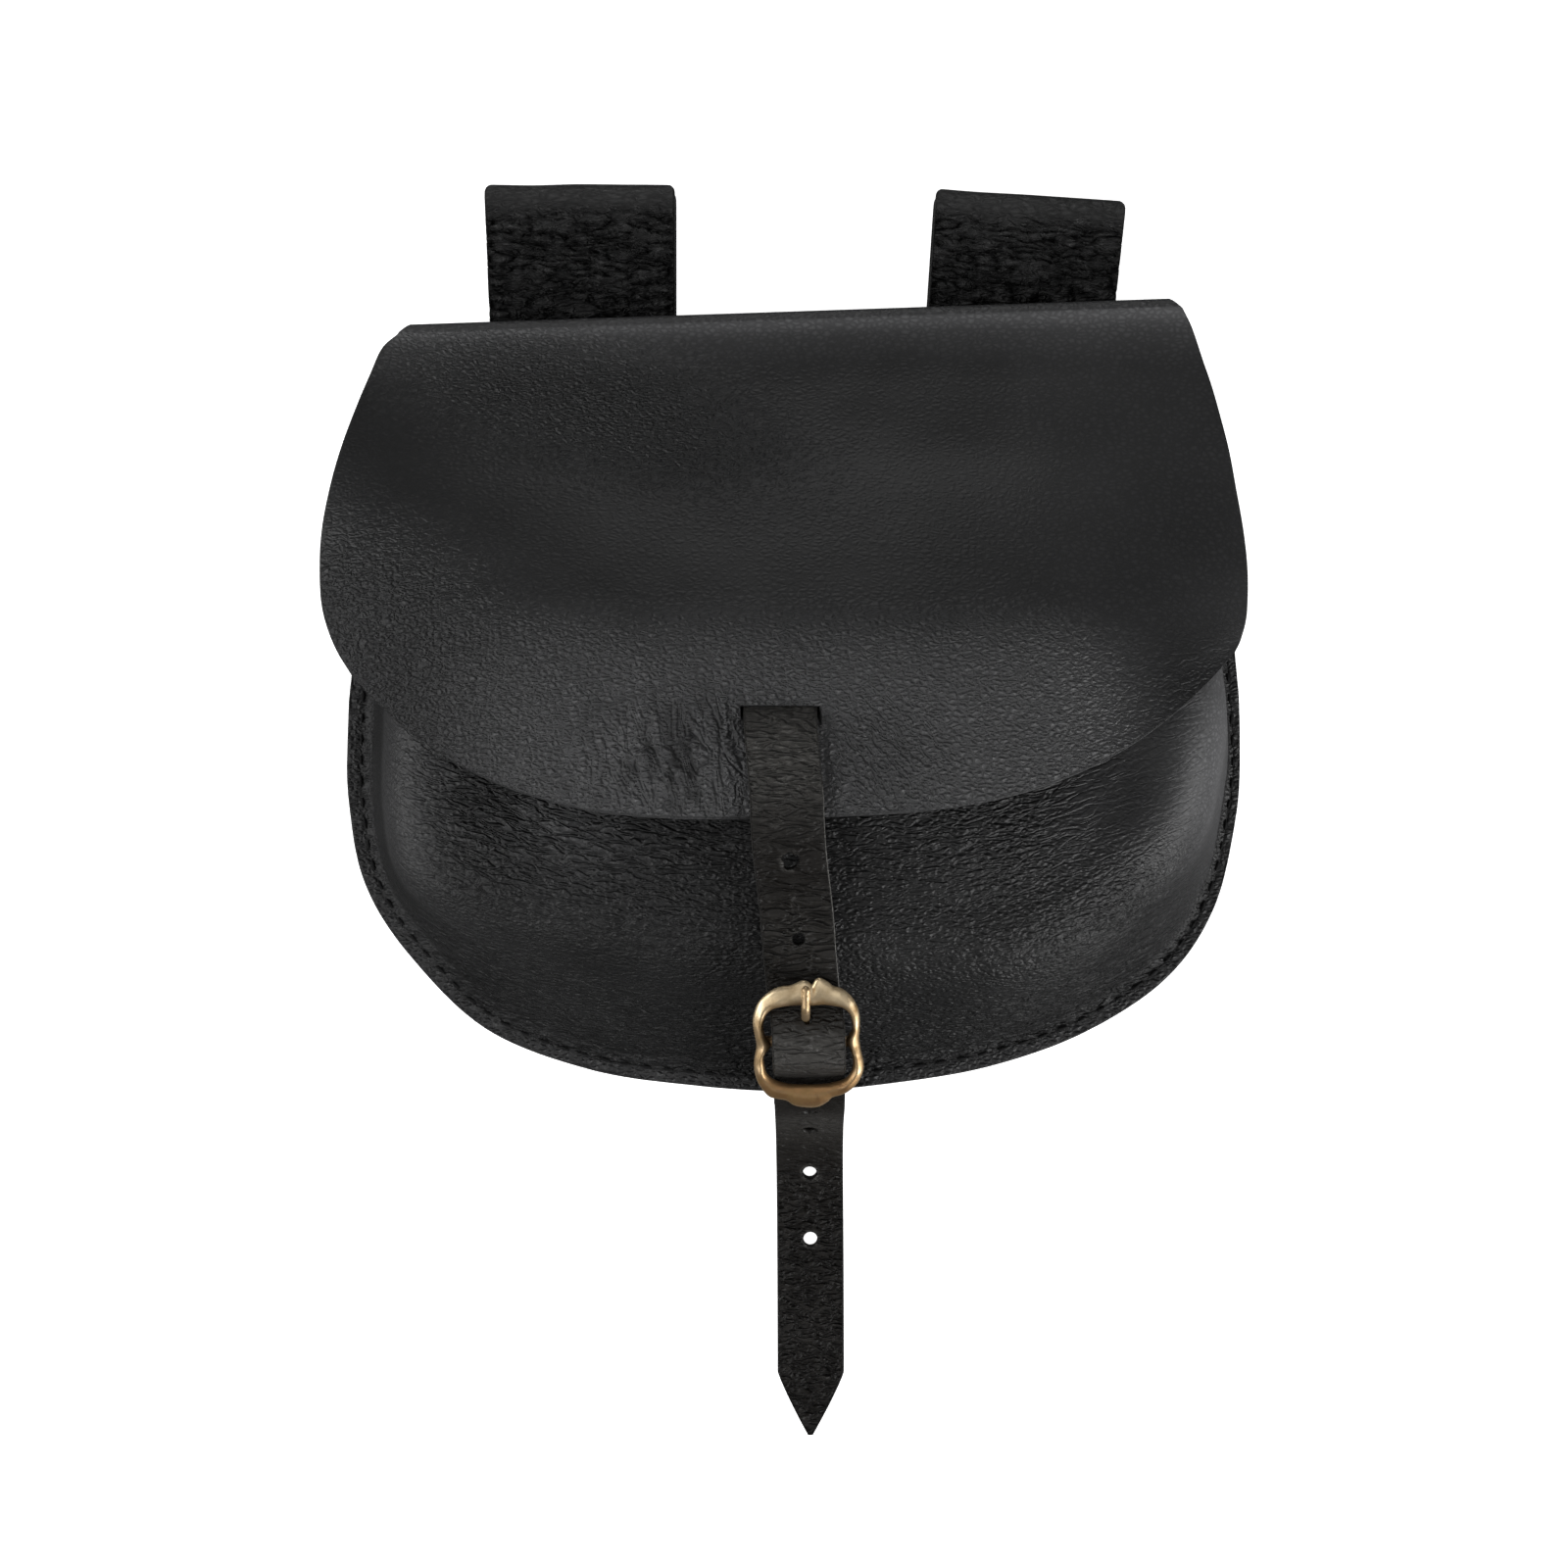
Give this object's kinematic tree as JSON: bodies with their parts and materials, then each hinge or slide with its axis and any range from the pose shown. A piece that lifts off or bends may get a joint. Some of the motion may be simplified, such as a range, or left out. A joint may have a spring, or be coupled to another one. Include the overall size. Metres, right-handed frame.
{
  "type": "belt pouch",
  "caption": "Flat-backed belt pouch in black leather with a moulded curved front, a folded-over flap, a pointed strap in a small brass buckle, and wide belt loops behind.",
  "frame": {"origin": "on the flat underside of the back, in the middle of the bag", "axes": "+X to the right of the bag seen from its front, +Y towards the fold along its top, +Z out of its front"},
  "size_m": [0.2107, 0.2928, 0.0585],
  "materials": {
    "bag_leather": "pebbled grain, dyed black, low sheen",
    "strap_leather": "smooth to lightly creased, dyed black",
    "buckle_brass": "cast, aged, satin"
  },
  "bodies": {
    "root": {"back_and_flap": "bag_leather", "front_panel": "bag_leather", "belt_loop_left": "strap_leather", "belt_loop_right": "strap_leather", "flap_strap": "strap_leather", "buckle_strap": "strap_leather", "buckle_frame": "buckle_brass", "buckle_pin": "buckle_brass"}
  },
  "joints": []
}
